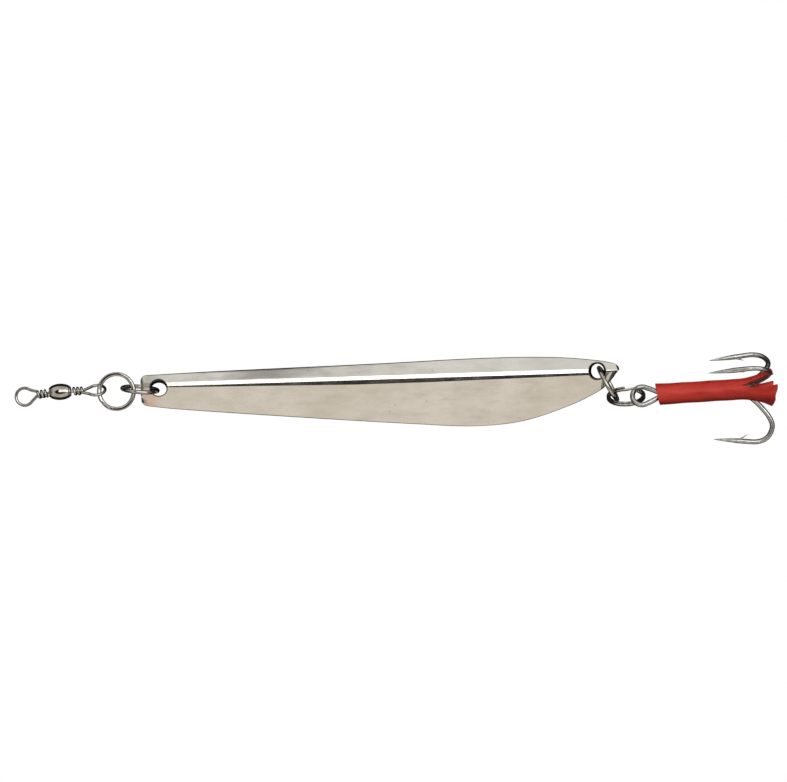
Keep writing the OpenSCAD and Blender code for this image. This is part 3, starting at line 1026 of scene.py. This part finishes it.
def overhead_light(name, low_y, high_y, mirrored):
    """Flat light above the lure, from low_y to high_y in metres."""
    light = bpy.data.lights.new(name, "AREA")
    light.shape = "RECTANGLE"
    light.size = OVERHEAD_HIGH_X - OVERHEAD_LOW_X
    light.size_y = high_y - low_y
    light.energy = OVERHEAD_RADIANCE * math.pi * light.size * light.size_y
    obj = bpy.data.objects.new(name, light)
    obj.location = ((OVERHEAD_LOW_X + OVERHEAD_HIGH_X) / 2, (low_y + high_y) / 2, OVERHEAD_Z)
    obj.visible_camera = False
    obj.visible_glossy = mirrored
    bpy.context.scene.collection.objects.link(obj)


def lights():
    """A softbox whose edge lies just past the zenith, and a fill beside it that the metal doesn't mirror."""
    overhead_light("softbox", -0.075, 0.6, mirrored=True)
    overhead_light("fill", 0.6, 1.125, mirrored=False)


def room():
    """A dark ceiling above pale walls, and a plain pale background where the camera looks past the floor."""
    world = bpy.data.worlds.new("studio")
    bpy.context.scene.world = world
    world.use_nodes = True
    tree = world.node_tree
    tree.nodes.clear()
    n = Nodes(tree, "Generated")
    xyz = tree.nodes.new("ShaderNodeSeparateXYZ")
    n.put(xyz.inputs[0], n.place)
    x, y, z = xyz.outputs
    wall_tone = n.mix(n.spread(y, -0.5, 0.5), colour(0.78, 0.72, 0.635), colour(0.81, 0.80, 0.775))
    side = n.spread(n.math("ABSOLUTE", x), 0.62, 0.85, 0.0, 0.85)
    wall_tone = n.mix(side, wall_tone, colour(0.11, 0.105, 0.098))
    skirting = n.spread(z, 0.06, 0.14, 0.95, 0.0)
    wall_tone = n.mix(skirting, wall_tone, colour(0.03, 0.028, 0.026))
    ceiling = n.spread(z, 0.83, 0.87)
    light = n.mix(ceiling, wall_tone, colour(0.025, 0.022, 0.02))
    rays = tree.nodes.new("ShaderNodeLightPath").outputs
    light = n.mix(rays["Is Diffuse Ray"], light, colour(0.07, 0.068, 0.064))
    light = n.mix(rays["Is Camera Ray"], light, colour(0.80, 0.80, 0.80))
    background = tree.nodes.new("ShaderNodeBackground")
    n.put(background.inputs["Color"], light)
    output = tree.nodes.new("ShaderNodeOutputWorld")
    tree.links.new(background.outputs[0], output.inputs[0])


def camera():
    """Straight above the lure, with a long lens, turned a little so that the lure lies level."""
    roll = -2.15
    margin = 1.0403
    width = (cad_box[1].x - cad_box[0].x) * margin
    distance = 0.6
    off_x, off_y, focus_z = 0.295 * MM, 4.56 * MM, 2.5 * MM
    middle = (cad_box[0] + cad_box[1]) / 2
    data = bpy.data.cameras.new("camera")
    data.sensor_width = 36
    data.lens = data.sensor_width * distance / width
    obj = bpy.data.objects.new("camera", data)
    obj.location = (middle.x + off_x, middle.y + off_y, focus_z + distance)
    obj.rotation_euler = (0, 0, math.radians(roll))
    data.clip_start, data.clip_end = 0.01, 10
    bpy.context.scene.collection.objects.link(obj)
    bpy.context.scene.camera = obj


camera()
lure_body()
rings()
swivel()
treble()
floor()
lights()
room()
bpy.context.scene.view_settings.view_transform = "Standard"
